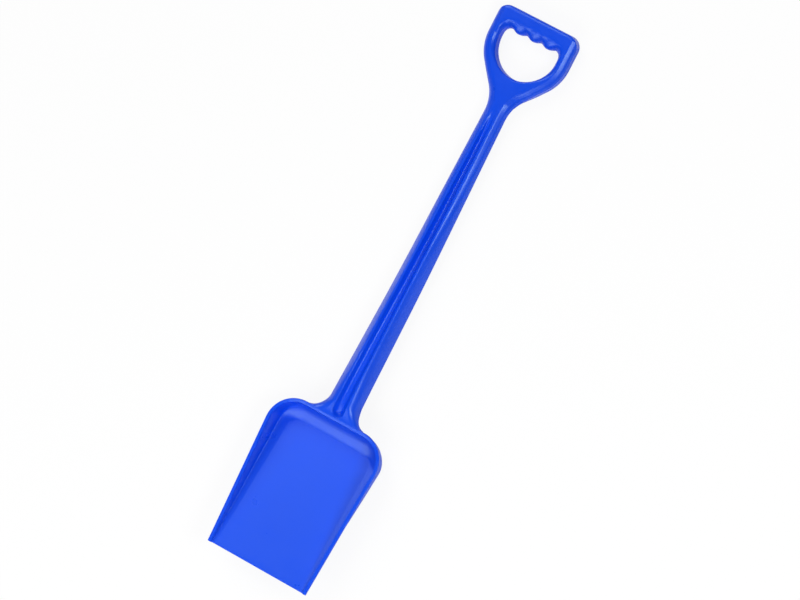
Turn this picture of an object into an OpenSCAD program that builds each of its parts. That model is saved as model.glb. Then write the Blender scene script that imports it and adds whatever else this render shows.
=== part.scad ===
// Sand shovel moulded in one piece of blue plastic.
// It lies on its back: the scooping side faces up, the blade points to -Y and the grip to +Y.
// The heel of the pan and the flat back of the grip touch the ground.

/* [Overall] */
// Length from the front edge of the blade to the top of the grip
overall_length = 560; // [500:5:640]
// Thickness of the moulded walls of the shaft and the neck
wall = 2.4; // [2:0.1:3]

/* [Blade] */
// Length of the blade from its front edge to the back of its rear lip
blade_length = 155; // [140:1:170]
// Width of the blade across the front corners
blade_front_width = 106.5; // [95:1:112]
// Width of the blade at its widest place, just ahead of the rear corners
blade_rear_width = 118; // [114:1:130]
// Radius of the two rear corners in plan
blade_corner_radius = 28; // [22:1:30]
// Depth of the pan at its rear, from the rim down to the floor
pan_depth = 23.5; // [16:0.5:30]
// Thickness of the floor and walls of the blade
blade_wall = 2.6; // [2:0.1:3.2]
// Height of the front edge above the ground when the shovel lies on its back
tip_rise = 31; // [20:1:40]
// Height of the side lips above the floor at the front corners
front_lip_height = 2.4; // [1.6:0.1:5]
// Width of the flat lip round the rim
lip_width = 4.4; // [3.6:0.1:5]
// Radius that breaks the outer edge of the lip
lip_edge_radius = 0.8; // [0.4:0.1:1.2]
// Width that the side walls take in plan at the front corners
front_wall_run = 3; // [2:0.5:6]
// Width that the side walls take in plan at the rear
side_wall_run = 11; // [8:0.5:14]
// Width that the rear wall takes in plan
rear_wall_run = 16.5; // [12:0.5:17]

/* [Neck and shaft] */
// Width of the shaft where it leaves the neck
shaft_lower_width = 32.5; // [28:0.5:36]
// Width of the shaft just below the yoke
shaft_upper_width = 22; // [19:0.5:26]
// Length of the neck between the rear lip and the shaft
neck_length = 30; // [24:1:40]
// Distance by which the neck spreads to each side where it meets the rear lip
neck_fillet_width = 14; // [10:1:18]
// Length over which the neck spreads
neck_fillet_length = 18; // [12:1:24]
// Drop from the underside of the rear lip to the edges of the neck where it leaves the lip
neck_root_drop = 3; // [2:0.5:8]
// Half width of the mouth of the front groove at its lower end
groove_lower_half_width = 6.2; // [4.5:0.1:7]
// Half width of the mouth of the front groove at its upper end
groove_upper_half_width = 3; // [2:0.1:4]
// Depth of the front groove at its lower end
groove_lower_depth = 9.5; // [6:0.5:10]
// Depth of the front groove just before it fades out
groove_upper_depth = 3.4; // [2:0.1:4]
// Distance over which the groove fades out below the yoke
groove_fade_length = 45; // [20:1:60]
// Width of the crest between the groove and the shoulder of the shaft
crest_width = 1.2; // [0.8:0.1:2]
// Height of the slanting lower edge of the shaft's side walls
wall_edge_height = 1; // [0.6:0.1:1.6]
// Number of cross ribs in the open back of the shaft
rib_count = 6; // [3:1:8]
// Thickness of each cross rib
rib_thickness = 2; // [1.6:0.1:3]

/* [Grip] */
// Width of the grip over both arms
grip_width = 82.6; // [80:0.2:90]
// Thickness of the grip from its flat back to its front
grip_thickness = 16; // [14:0.5:18]
// Radius of the round lower part of the finger opening
opening_radius = 29.8; // [27:0.2:30.4]
// Height of the crossbar from the finger hollows to its top edge
crossbar_height = 18.4; // [16:0.2:20]
// Distance from the lowest point of the finger opening up to the finger hollows
opening_height = 40.6; // [39:0.2:44]
// Radius of the two upper corners of the finger opening
opening_corner_radius = 7.4; // [6:0.2:9]
// Radius of the two outer corners of the grip
grip_corner_radius = 11; // [8:0.5:13]
// Spacing of the finger hollows
finger_pitch = 15.2; // [13:0.1:15.4]
// Height of the ridges between the finger hollows
finger_ridge_height = 2.4; // [1:0.1:3.5]
// Radius of the hollow curve where the shaft spreads into the yoke
yoke_fillet_radius = 38; // [28:1:42]
// Radius of the swelling curve where the yoke turns up into the arms
yoke_shoulder_radius = 42; // [34:1:46]
// Angle between the flare of the yoke and the length of the shovel
yoke_flare_angle = 38; // [34:1:42]
// Width over which the front of the arms is rounded
arm_rounding_width = 5.8; // [4:0.2:6]
// Drop of the rounded edges of the arms from front to side
arm_rounding_drop = 5.5; // [3:0.5:7]
// Width over which the crossbar is rounded above the fingers
pad_rounding_width = 9.5; // [6:0.5:11]
// Drop of the rounded pads above the fingers
pad_rounding_drop = 7; // [4:0.5:8]
// Width of the rounding along the top edge of the crossbar
top_rounding_width = 3; // [2:0.5:5]
// Rounding of the edges of the flat back
back_edge_radius = 2; // [1:0.5:3]

/* [Hidden] */

// Where the parts of the shovel lie along its length, measured from the front edge
neck_top = blade_length + neck_length;
crossbar_under = overall_length - crossbar_height;
opening_bottom = crossbar_under - opening_height;
opening_centre = opening_bottom + opening_radius;
arm_top = crossbar_under - opening_corner_radius - back_edge_radius;
grip_half = grip_width / 2;
// The arms leave the yoke along a line at this angle below the middle of the opening
arm_root_angle = 35;
shoulder_end = opening_centre;
flare_run = grip_half - shaft_upper_width / 2;
fillet_run = yoke_fillet_radius * (1 - cos(yoke_flare_angle));
shoulder_run = yoke_shoulder_radius * (1 - cos(yoke_flare_angle));
straight_rise = (flare_run - fillet_run - shoulder_run) / tan(yoke_flare_angle);
shoulder_start = shoulder_end - yoke_shoulder_radius * sin(yoke_flare_angle);
fillet_end = shoulder_start - straight_rise;
flare_start = fillet_end - yoke_fillet_radius * sin(yoke_flare_angle);
// The shaft ends and the yoke begins this share of the way up the hollow curve
throat_share = 0.55;
throat = lerp(flare_start, fillet_end, throat_share);
handle_length = throat - blade_length;

// Heights above the ground
rim_height = blade_wall + pan_depth;
pan_foot = blade_length - lip_width - rear_wall_run;
side_half_front = blade_front_width / 2;
side_half_rear = blade_rear_width / 2;
grip_middle = grip_thickness / 2;
neck_back_height = 14.5;
neck_root_height = max(neck_back_height, rim_height - blade_wall - neck_root_drop);

// Shares of the handle's length with the share of the fall of its crest line from rim to grip
crest_line_shares = [[0, 1], [0.08, 1.08], [0.22, 0.98], [0.39, 0.69], [0.56, 0.4],
    [0.66, 0.27], [0.8, 0.12], [0.93, 0.03], [1, 0]];
// Shares of the handle's length with the share of the fall of its back edges
back_line_shares = [[0, 1], [0.08, 1.03], [0.22, 0.62], [0.39, 0.14], [0.54, 0], [1, 0]];
// Profile of the pan wall from the rim to the floor: shares of its run and of its depth
pan_wall_shares = [[0, 0], [0.1, 0.05], [0.2, 0.17], [0.33, 0.4], [0.46, 0.62],
    [0.6, 0.8], [0.77, 0.94], [1, 1]];
// Profile of the front groove from its middle to its mouth: shares of half width and of depth
groove_shares = [[0, 1], [0.22, 1], [0.42, 0.9], [0.6, 0.62], [0.8, 0.24], [0.93, 0.05], [1, 0]];
shoulder_steps = 9;
half_steps = len(groove_shares) + shoulder_steps;
arm_steps = half_steps - len(groove_shares) + 1;

function lerp(a, b, t) = a + (b - a) * t;
function limit(t) = min(1, max(0, t));
function ease(t) = t * t * (3 - 2 * t);
// Height lost at distance d from an edge that is rounded over a width and a drop
function rounding(d, width, drop) =
    d >= width ? 0 : drop * (1 - sqrt(max(0, 1 - pow(1 - d / width, 2))));
// Value of a table of shares, smoothed over a short stretch
function smooth_share(q, table) =
    let (reach = 0.05)
    (lookup(q - reach, table) + lookup(q - reach / 2, table) + lookup(q, table)
    + lookup(q + reach / 2, table) + lookup(q + reach, table)) / 5;
// Normal of a profile at point k, on the left of its direction of travel
function profile_normal(p, k) =
    let (d = p[min(k + 1, len(p) - 1)] - p[max(k - 1, 0)])
    [-d[1], d[0]] / norm(d);

// Closed solid between a front grid and a back grid of points with the same counts
module sheet(front, back) {
    rows = len(front);
    cols = len(front[0]);
    size = rows * cols;
    points = [for (grid = [front, back]) for (row = grid) for (p = row) p];
    front_faces = [for (i = [0 : rows - 2]) for (k = [0 : cols - 2])
        let (a = i * cols + k)
        each [[a, a + 1, a + cols + 1], [a, a + cols + 1, a + cols]]];
    back_faces = [for (f = front_faces) [f[2] + size, f[1] + size, f[0] + size]];
    end_faces = [for (k = [0 : cols - 2])
        let (a = k, b = (rows - 1) * cols + k)
        each [[a, a + size, a + size + 1], [a, a + size + 1, a + 1],
            [b, b + size + 1, b + size], [b, b + 1, b + size + 1]]];
    side_faces = [for (i = [0 : rows - 2])
        let (a = i * cols, b = a + cols - 1)
        each [[a, a + cols, a + cols + size], [a, a + cols + size, a + size],
            [b, b + cols + size, b + cols], [b, b + size, b + cols + size]]];
    polyhedron(points, concat(front_faces, back_faces, end_faces, side_faces));
}

// Moves a piece from the front edge to the middle of the shovel's length
module centred() {
    translate([0, -overall_length / 2, 0]) children();
}

// Blade: a pan with a sloping floor, rounded walls and a flat lip

// Height of the inner floor and of the rim at a distance from the front edge
function floor_height(y) = lerp(tip_rise, blade_wall, y / heel);
function lip_height(y) = lerp(tip_rise + front_lip_height, rim_height, y / blade_length);

taper_angle = atan((side_half_rear - side_half_front) / (blade_length - blade_corner_radius));
corner_x = side_half_rear - blade_corner_radius;
corner_y = blade_length - blade_corner_radius;
side_end = corner_y - blade_corner_radius * sin(taper_angle);
// The spread of the neck is limited by the straight of the rear lip between the two corners
least_straight = 0.5;
neck_root_half = min(shaft_lower_width / 2 + neck_fillet_width, corner_x - least_straight);
neck_fillet_run = neck_root_half - shaft_lower_width / 2;
side_steps = 8;
corner_steps = 8;
rear_steps = 5;

// Stations round the left half of the rim: x, y, inward direction, run of the wall, edge radius
function left_rim() = concat(
    [for (i = [0 : side_steps - 1])
        let (s = i / side_steps)
        [-lerp(side_half_front, side_half_rear, s), s * side_end, 1, s * sin(taper_angle),
            lerp(front_wall_run, side_wall_run, s), lip_edge_radius]],
    [for (i = [0 : corner_steps])
        let (s = i / corner_steps, t = lerp(-taper_angle, 90, s))
        [-corner_x - blade_corner_radius * cos(t), corner_y + blade_corner_radius * sin(t),
            cos(t), -sin(t), lerp(side_wall_run, rear_wall_run, ease(s)), lip_edge_radius]],
    [for (i = [1 : rear_steps])
        let (s = i / rear_steps, x = i == 1 ? neck_root_half : neck_root_half * (1 - s))
        [-x, blade_length, 0, -1, rear_wall_run, i == 1 ? lip_edge_radius : 0]]);

// The floor is lowest where the foot of the walls lies furthest back
heel = max([for (r = left_rim()) r[1] + r[3] * (lip_width + r[4])]);

// Profile of the upper side at one station: distance inward and height below the rim
function pan_top(run, depth, edge) = concat(
    [[0, -edge], [lip_edge_radius * 0.3, -edge * 0.3], [lip_edge_radius, 0]],
    [for (s = pan_wall_shares) [lip_width + run * s[0], -depth * s[1]]]);

// Profile of the underside at the same station, kept from folding where the wall is low
function pan_under(run, depth, edge) =
    let (top = pan_top(run, depth, edge), last = len(top) - 1,
        moved = [for (k = [0 : last])
            k < 3 ? [top[k][0], -blade_wall] :
            k == last ? [top[k][0], top[k][1] - blade_wall] :
            let (p = top[k] - profile_normal(top, k) * blade_wall)
            [p[0], max(min(p[1], -blade_wall), -depth - blade_wall)]])
    [for (k = [0 : last]) [unfolded(moved, k), moved[k][1]]];
function unfolded(p, k) =
    k < 3 || k == len(p) - 1 ? p[k][0] : max(p[k][0], unfolded(p, k - 1) + lip_edge_radius / 4);

function pan_row(rim, under) =
    let (foot = rim[1] + rim[3] * (lip_width + rim[4]),
        depth = lip_height(rim[1]) - floor_height(foot),
        profile = under ? pan_under(rim[4], depth, rim[5]) : pan_top(rim[4], depth, rim[5]))
    [for (p = profile) [rim[0] + rim[2] * p[0], rim[1] + rim[3] * p[0], lip_height(rim[1]) + p[1]]];

function mirrored(row) = [for (p = row) [-p[0], p[1], p[2]]];

module blade() {
    rim = left_rim();
    half = len(rim) - 1;
    last = 2 * half;
    top = [for (j = [0 : last]) j <= half ? pan_row(rim[j], false)
        : mirrored(pan_row(rim[last - j], false))];
    under = [for (j = [0 : last]) j <= half ? pan_row(rim[j], true)
        : mirrored(pan_row(rim[last - j], true))];
    cols = len(top[0]);
    size = (last + 1) * cols;
    foot = cols - 1;
    points = [for (grid = [top, under]) for (row = grid) for (p = row) p];
    wall_faces = [for (j = [0 : last - 1]) for (k = [0 : cols - 2])
        let (a = j * cols + k)
        each [[a, a + cols + 1, a + 1], [a, a + cols, a + cols + 1]]];
    corner_end = side_steps + corner_steps;
    apex = (corner_end - 1) * cols + foot;
    floor_faces = concat(
        [for (j = [0 : corner_end - 2])
            let (a = j * cols + foot, b = a + cols, c = (last - j) * cols + foot, d = c - cols)
            each [[a, b, d], [a, d, c]]],
        [for (j = [corner_end : last - corner_end])
            [apex, j * cols + foot, (j + 1) * cols + foot]]);
    under_faces = [for (f = concat(wall_faces, floor_faces)) [f[2] + size, f[1] + size, f[0] + size]];
    lip_faces = [for (j = [0 : last - 1])
        let (a = j * cols)
        each [[a, a + size, a + size + cols], [a, a + size + cols, a + cols]]];
    front_faces = concat(
        [for (k = [0 : cols - 2])
            let (a = k, b = last * cols + k)
            each [[a, a + 1, a + 1 + size], [a, a + 1 + size, a + size],
                [b, b + 1 + size, b + 1], [b, b + size, b + 1 + size]]],
        [[foot, last * cols + foot, last * cols + foot + size],
            [foot, last * cols + foot + size, foot + size]]);
    color("royalblue")
    centred()
    polyhedron(points, concat(wall_faces, floor_faces, under_faces, lip_faces, front_faces));
}

// Neck, shaft and yoke: one family of cross-sections

function handle_share(y) = limit((y - blade_length) / handle_length);
function crest_height(y) =
    lerp(grip_thickness, rim_height, smooth_share(handle_share(y), crest_line_shares));
function back_height(y) =
    lerp(lerp(grip_middle, neck_back_height, smooth_share(handle_share(y), back_line_shares)),
        neck_root_height, 1 - ease(limit((y - blade_length) / neck_fillet_run)));

// Half width of the whole handle in plan, from the rear lip to the top of the arms
function outline_half(y) =
    let (root = y - blade_length)
    root < neck_fillet_length
        ? shaft_lower_width / 2 + rounding(root, neck_fillet_length, neck_fillet_run)
    : y < flare_start
        ? lerp(shaft_lower_width, shaft_upper_width,
            (root - neck_fillet_length) / (flare_start - blade_length - neck_fillet_length)) / 2
    : y < fillet_end
        ? shaft_upper_width / 2 + yoke_fillet_radius
            - sqrt(pow(yoke_fillet_radius, 2) - pow(y - flare_start, 2))
    : y < shoulder_start
        ? shaft_upper_width / 2 + fillet_run + (y - fillet_end) * tan(yoke_flare_angle)
    : y < shoulder_end
        ? grip_half - yoke_shoulder_radius
            + sqrt(pow(yoke_shoulder_radius, 2) - pow(shoulder_end - y, 2))
    : grip_half;

groove_start = blade_length + crest_width * 3;
groove_end = throat;
function groove_share(y) = limit((y - groove_start) / (groove_end - groove_start));
function groove_half_width(y) =
    let (full = lerp(groove_lower_half_width, groove_upper_half_width, groove_share(y)),
        in = max(0, y - groove_start))
    in >= full ? full : max(full * 0.05, sqrt(max(0, full * full - pow(full - in, 2))));
function groove_depth(y) =
    lerp(groove_lower_depth, groove_upper_depth, groove_share(y))
    * limit((y - groove_start) / (groove_lower_half_width * 1.4))
    * ease(limit((groove_end - y) / groove_fade_length));
// Half width up to which the front stays at crest height
function crest_half_width(y) =
    groove_half_width(max(y, groove_start + groove_lower_half_width)) + crest_width
    + (outline_half(y) - shaft_lower_width / 2) * (y < neck_top ? 0.75 : 0);

// Right half of a section: across and height, from the middle of the groove to the back edge
function section_half(y) =
    let (top = crest_height(y), low = back_height(y), mouth = groove_half_width(y),
        depth = groove_depth(y), crest = crest_half_width(y), side = outline_half(y),
        spread = limit((y - blade_length) / neck_fillet_run),
        fullness = spread < 1 ? lerp(0.8, 1.3, spread) : lerp(1.3, 1, handle_share(y)))
    concat(
        [for (s = groove_shares) [mouth * s[0], top - depth * s[1]]],
        [for (i = [0 : shoulder_steps])
            let (t = 90 * i / shoulder_steps)
            [lerp(crest, side, pow(sin(t), fullness)),
                lerp(low + wall_edge_height, top, pow(cos(t), fullness))]]);

// The same half section moved inward by the wall, as the open back sees it
function channel_half(y, rib) =
    let (p = section_half(y), last = len(p) - 1, n = len(groove_shares),
        moved = [for (k = [0 : last]) p[k] - profile_normal(p, k) * wall],
        a = moved[n - 3], b = moved[n + 2], low = back_height(y))
    [for (k = [0 : last])
        let (q = k == 0 ? [0, moved[0][1]] : k == last ? [p[last][0] - wall, low]
            : k > n - 3 && k < n + 2
                ? [lerp(a[0], b[0], (k - n + 3) / 5), min(a[1], b[1], p[n][1] - wall)]
                : moved[k])
        [q[0], rib ? low : max(low, q[1])]];

function full_width(half) =
    let (last = len(half) - 1)
    concat([for (k = [last : -1 : 1]) [-half[k][0], half[k][1]]], half);

// Underside of the rear wall, which the neck runs down to
function rear_contact(z) =
    let (under = pan_under(rear_wall_run, rim_height - floor_height(pan_foot), 0),
        table = [for (k = [len(under) - 1 : -1 : 3]) [under[k][1], under[k][0]]],
        below = z - rim_height)
    below > -blade_wall ? blade_length : blade_length - lookup(below, table);

function handle_row(y, half) = [for (p = full_width(half)) [p[0], y, p[1]]];
// First row of the neck: behind the rear lip where its front is higher than the underside of
// the lip, and against the rear wall of the pan where it is lower
function root_row(front, half) =
    let (corner = rim_height - blade_wall, last = len(half) - 1,
        row = [for (k = [0 : last])
            let (high = front[k][1] > corner, at_corner = high && front[min(k + 1, last)][1] <= corner)
            [half[k][0], high ? blade_length : rear_contact(half[k][1]),
                at_corner ? min(corner, half[k][1]) : half[k][1]]])
    concat([for (k = [last : -1 : 1]) [-row[k][0], row[k][1], row[k][2]]], row);

neck_steps = 12;
module neck() {
    ys = [for (i = [0 : neck_steps]) blade_length + neck_length * pow(i / neck_steps, 1.4)];
    front = [for (i = [0 : neck_steps])
        let (half = section_half(ys[i]))
        i == 0 ? root_row(half, half) : handle_row(ys[i], half)];
    back = [for (i = [0 : neck_steps])
        let (half = channel_half(ys[i], false))
        i == 0 ? root_row(section_half(ys[0]), half) : handle_row(ys[i], half)];
    color("royalblue") centred() sheet(back, front);
}

// Stations along the shaft, with four round each cross rib: place and whether it lies in a rib
shaft_gap = (throat - neck_top) / (rib_count + 1);
rib_draft = rib_thickness / 3;
bay_steps = 4;
shaft_stations = concat([[neck_top, false]],
    [for (i = [0 : rib_count])
        let (start = neck_top + i * shaft_gap + (i == 0 ? 0 : rib_thickness / 2 + rib_draft),
            end = neck_top + (i + 1) * shaft_gap
                - (i == rib_count ? 0 : rib_thickness / 2 + rib_draft))
        each concat(
            i == 0 ? [] : [[start - rib_draft, true], [start, false]],
            [for (k = [1 : bay_steps - 1]) [lerp(start, end, k / bay_steps), false]],
            [[end, false]],
            i == rib_count ? [] : [[end + rib_draft, true]])]);

module shaft() {
    front = [for (s = shaft_stations) handle_row(s[0], section_half(s[0]))];
    back = [for (s = shaft_stations) handle_row(s[0], channel_half(s[0], s[1]))];
    color("royalblue") centred() sheet(back, front);
}

// Grip: yoke, two arms and crossbar round the finger opening

arm_inner_root = [opening_radius * cos(arm_root_angle),
    opening_centre - opening_radius * sin(arm_root_angle)];
// Distance along the root line of the arm from the opening to the outer edge
function root_reach(low, high, steps) =
    let (mid = (low + high) / 2,
        p = arm_inner_root + mid * [cos(arm_root_angle), -sin(arm_root_angle)])
    steps == 0 ? mid : p[0] > outline_half(p[1]) ? root_reach(low, mid, steps - 1)
        : root_reach(mid, high, steps - 1);
arm_root_width = root_reach(0, grip_width, 30);
arm_outer_root = arm_inner_root + arm_root_width * [cos(arm_root_angle), -sin(arm_root_angle)];

// Height of the front and back of the grip at distances from its two edges
function grip_front(inner, outer, inner_width, outer_width, inner_drop, outer_drop) =
    grip_thickness - rounding(inner, inner_width, inner_drop)
    - rounding(outer, outer_width, outer_drop);
function grip_back(inner, outer) =
    rounding(min(inner, outer), back_edge_radius, back_edge_radius);
function across_share(k) = (1 - cos(180 * k / arm_steps)) / 2;

// One row of points from the opening to the outer edge
function arm_row(inner, outer, inner_width, outer_width, inner_drop, outer_drop, back) =
    let (reach = norm(outer - inner))
    [for (k = [0 : arm_steps])
        let (s = across_share(k), p = lerp(inner, outer, s), a = reach * s, b = reach * (1 - s))
        [p[0], p[1], back ? grip_back(a, b)
            : grip_front(a, b, inner_width, outer_width, inner_drop, outer_drop)]];

// Top boundary of the yoke for column k counted from the middle
function yoke_top(k) =
    let (n = len(groove_shares) - 1,
        t = -90 + (90 - arm_root_angle) * k / n,
        s = across_share(k - n))
    k <= n ? [opening_radius * cos(t), opening_centre + opening_radius * sin(t)]
        : lerp(arm_inner_root, arm_outer_root, s);

yoke_steps = 14;
throat_half = section_half(throat);
function yoke_point(k, v) =
    let (last = half_steps, u = k / last,
        side_y = lerp(throat, arm_outer_root[1], v),
        edge = [outline_half(side_y), side_y],
        middle = lerp([0, throat], yoke_top(0), v),
        low = [throat_half[k][0], throat], high = yoke_top(k),
        w = low[0] / throat_half[last][0],
        w_high = u)
    lerp(low, high, v)
        + (edge - lerp([throat_half[last][0], throat], arm_outer_root, v)) * lerp(w, w_high, v);
function yoke_height(k, v, back) =
    let (p = yoke_point(k, v), edge = yoke_point(half_steps, v),
        outer = norm(edge - p),
        inner = norm(p - [0, opening_centre]) - opening_radius,
        blend = ease(limit(v / 0.7)),
        drop = arm_rounding_drop, width = arm_rounding_width)
    back ? lerp(back_height(throat), grip_back(inner, outer), blend)
        : lerp(throat_half[k][1], grip_front(inner, outer, width, width, drop, drop), blend);
function yoke_row(v, back) =
    let (half = [for (k = [0 : half_steps])
        let (p = yoke_point(k, v)) [p[0], p[1], yoke_height(k, v, back)]])
    concat([for (k = [half_steps : -1 : 1]) [-half[k][0], half[k][1], half[k][2]]], half);

module yoke() {
    vs = [for (i = [0 : yoke_steps]) sin(90 * i / yoke_steps)];
    color("royalblue")
    centred()
    sheet([for (v = vs) yoke_row(v, true)], [for (v = vs) yoke_row(v, false)]);
}

arm_rows = 10;
module arm() {
    bend = arm_rows - 2;
    inner = [for (i = [0 : arm_rows])
        let (t = -arm_root_angle * (1 - i / bend))
        i <= bend ? [opening_radius * cos(t), opening_centre + opening_radius * sin(t)]
            : [opening_radius, lerp(opening_centre, arm_top, (i - bend) / (arm_rows - bend))]];
    outer = [for (i = [0 : arm_rows])
        let (y = lerp(arm_outer_root[1], arm_top, i / arm_rows))
        i == 0 ? arm_outer_root : [outline_half(y), y]];
    width = arm_rounding_width;
    drop = arm_rounding_drop;
    front = [for (i = [0 : arm_rows])
        arm_row(inner[i], outer[i], width, width, drop, drop, false)];
    back = [for (i = [0 : arm_rows])
        arm_row(inner[i], outer[i], width, width, drop, drop, true)];
    color("royalblue") centred() sheet(back, front);
}

module right_arm() {
    arm();
}

module left_arm() {
    mirror([1, 0, 0]) arm();
}

// Crossbar with four finger hollows along its underside
pad_half = opening_radius - opening_corner_radius;
top_half = grip_half - grip_corner_radius;
bar_corner_steps = 6;
pad_steps = 16;
function finger_ridge(x) =
    abs(x) > finger_pitch * 1.5 ? 0
        : finger_ridge_height * pow((1 + cos(360 * x / finger_pitch)) / 2, 0.8);

// Stations of the right half: inner point, outer point, share of the way from arm to pads
function bar_half() = concat(
    [for (i = [0 : pad_steps])
        let (s = i / pad_steps, x = pad_half * s)
        [[x, crossbar_under - finger_ridge(x)], [top_half * s, overall_length], 1]],
    [for (i = [1 : bar_corner_steps])
        let (s = i / bar_corner_steps, t = 90 * (1 - s))
        [[pad_half + opening_corner_radius * cos(t),
            crossbar_under - opening_corner_radius * (1 - sin(t))],
            [top_half + grip_corner_radius * cos(t),
            overall_length - grip_corner_radius * (1 - sin(t))], ease(1 - s)]],
    [[[opening_radius, arm_top], [grip_half, arm_top], 0]]);

function bar_row(s, back) =
    arm_row(s[0], s[1], lerp(arm_rounding_width, pad_rounding_width, s[2]),
        lerp(arm_rounding_width, top_rounding_width, s[2]),
        lerp(arm_rounding_drop, pad_rounding_drop, s[2]),
        lerp(arm_rounding_drop, top_rounding_width, s[2]), back);

module crossbar() {
    half = bar_half();
    last = len(half) - 1;
    stations = concat([for (i = [last : -1 : 0]) half[i]],
        [for (i = [1 : last]) [[-half[i][0][0], half[i][0][1]], [-half[i][1][0], half[i][1][1]],
            half[i][2]]]);
    color("royalblue")
    centred()
    sheet([for (s = stations) bar_row(s, true)], [for (s = stations) bar_row(s, false)]);
}

blade();
neck();
shaft();
yoke();
left_arm();
right_arm();
crossbar();
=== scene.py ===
# %% [markdown]
# # A sand shovel in moulded blue plastic
# The real shovel comes out of one mould: a pan-shaped blade, a neck, a long channelled shaft
# and a D-shaped grip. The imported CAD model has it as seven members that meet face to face.
# This lesson lays a finer skin over those members, with soft edges, a moulded finish and the
# light of a small studio. It starts by loading the CAD model, which stays as a fixed frame.

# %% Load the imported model
import math

import bpy
import numpy as np
from mathutils import Matrix, Vector


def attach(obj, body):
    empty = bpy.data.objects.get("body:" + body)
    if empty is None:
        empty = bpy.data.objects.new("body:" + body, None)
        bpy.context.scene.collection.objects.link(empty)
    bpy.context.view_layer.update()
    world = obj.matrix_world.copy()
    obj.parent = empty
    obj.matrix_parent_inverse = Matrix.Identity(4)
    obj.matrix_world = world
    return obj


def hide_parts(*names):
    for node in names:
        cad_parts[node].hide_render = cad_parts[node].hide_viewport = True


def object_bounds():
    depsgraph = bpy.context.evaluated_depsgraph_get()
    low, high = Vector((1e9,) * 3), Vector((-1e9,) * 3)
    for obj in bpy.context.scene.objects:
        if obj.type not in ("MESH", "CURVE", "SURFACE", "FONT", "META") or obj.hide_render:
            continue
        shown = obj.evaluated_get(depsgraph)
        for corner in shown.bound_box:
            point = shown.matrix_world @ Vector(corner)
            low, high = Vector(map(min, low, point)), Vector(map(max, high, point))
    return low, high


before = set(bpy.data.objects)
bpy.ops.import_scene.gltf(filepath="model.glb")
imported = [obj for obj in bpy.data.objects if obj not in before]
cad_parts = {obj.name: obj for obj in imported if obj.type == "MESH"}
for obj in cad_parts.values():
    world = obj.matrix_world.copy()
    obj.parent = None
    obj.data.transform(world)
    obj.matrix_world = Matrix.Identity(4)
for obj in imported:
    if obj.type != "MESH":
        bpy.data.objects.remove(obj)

cad_low, cad_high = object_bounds()
print("CAD box in metres:", [round(v, 4) for v in (*cad_low, *cad_high)])

# %% [markdown]
# ## The shovel's measures
# A moulder works in millimetres, and so does this lesson until the points become a mesh. The
# values are the ones the CAD model is built from. The shovel lies on its back: x runs across
# it, z is up, and y runs from the front edge of the blade (0) to the top of the grip.

# %% Sizes in millimetres
LENGTH = 560
WALL = 2.4

BLADE_LENGTH = 155
BLADE_FRONT_WIDTH = 106.5
BLADE_REAR_WIDTH = 118
BLADE_CORNER_RADIUS = 28
PAN_DEPTH = 23.5
BLADE_WALL = 2.6
TIP_RISE = 31
FRONT_LIP_HEIGHT = 2.4
LIP_WIDTH = 4.4
LIP_EDGE_RADIUS = 0.8
FRONT_WALL_RUN = 3
SIDE_WALL_RUN = 11
REAR_WALL_RUN = 16.5

SHAFT_LOWER_WIDTH = 32.5
SHAFT_UPPER_WIDTH = 22
NECK_LENGTH = 30
NECK_FILLET_WIDTH = 14
NECK_FILLET_LENGTH = 18
NECK_ROOT_DROP = 3
GROOVE_LOWER_HALF_WIDTH = 6.2
GROOVE_UPPER_HALF_WIDTH = 3
GROOVE_LOWER_DEPTH = 9.5
GROOVE_UPPER_DEPTH = 3.4
GROOVE_FADE_LENGTH = 45
CREST_WIDTH = 1.2
WALL_EDGE_HEIGHT = 1
RIB_COUNT = 6
RIB_THICKNESS = 2

GRIP_WIDTH = 82.6
GRIP_THICKNESS = 16
OPENING_RADIUS = 29.8
CROSSBAR_HEIGHT = 18.4
OPENING_HEIGHT = 40.6
OPENING_CORNER_RADIUS = 7.4
GRIP_CORNER_RADIUS = 11
FINGER_PITCH = 15.2
FINGER_RIDGE_HEIGHT = 2.4
YOKE_FILLET_RADIUS = 38
YOKE_SHOULDER_RADIUS = 42
YOKE_FLARE_ANGLE = math.radians(38)
TOP_ROUNDING = 3
BACK_EDGE_RADIUS = 2
ARM_ROOT_ANGLE = math.radians(35)
NECK_BACK_HEIGHT = 14.5
print("finger opening:", 2 * OPENING_RADIUS, "by", OPENING_HEIGHT, "mm")

# %% [markdown]
# ## Small helpers
# Soft shapes need a few curves again and again: a straight blend, a blend that starts and ends
# gently, the curve of a rounded edge, and a table of shares drawn without kinks. All of them
# take numpy arrays, so one call can shape a whole row of points.


# %% Blends and roundings
def lerp(a, b, t):
    return a + (b - a) * t


def limit(t):
    return np.clip(t, 0, 1)


def ease(t):
    t = limit(t)
    return t * t * (3 - 2 * t)


def rounding(d, width, drop, bevel=2):
    """Height lost at distance d from an edge rounded over a width and a drop. A bevel of 2 is
    a quarter ellipse, and a lower one comes nearer to a flat cut."""
    inside = limit(1 - np.asarray(d, float) / width)
    return drop * (1 - (1 - inside**bevel) ** (1 / bevel))


def smooth_table(table, reach, count=401):
    """A table of shares as fine samples, averaged over a short reach so that no kink shows."""
    at = np.linspace(0, 1, count)
    xs, ys = np.array(table, float).T
    steps = np.linspace(-reach, reach, 9)
    return at, np.mean([np.interp(at + s, xs, ys) for s in steps], axis=0)


print("half of a 2 mm rounding takes away", round(float(rounding(1, 2, 2)), 3), "mm")

# %% [markdown]
# ## A slanting facet
# The edges of the grip and of the upper shaft are not plain roundings. They slant away in an
# almost flat facet, which shows as a broad streak of light, and then roll over at the edge. A
# bevel tool would cut the same facet everywhere. A curve of shares can fade along an edge.

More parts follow.
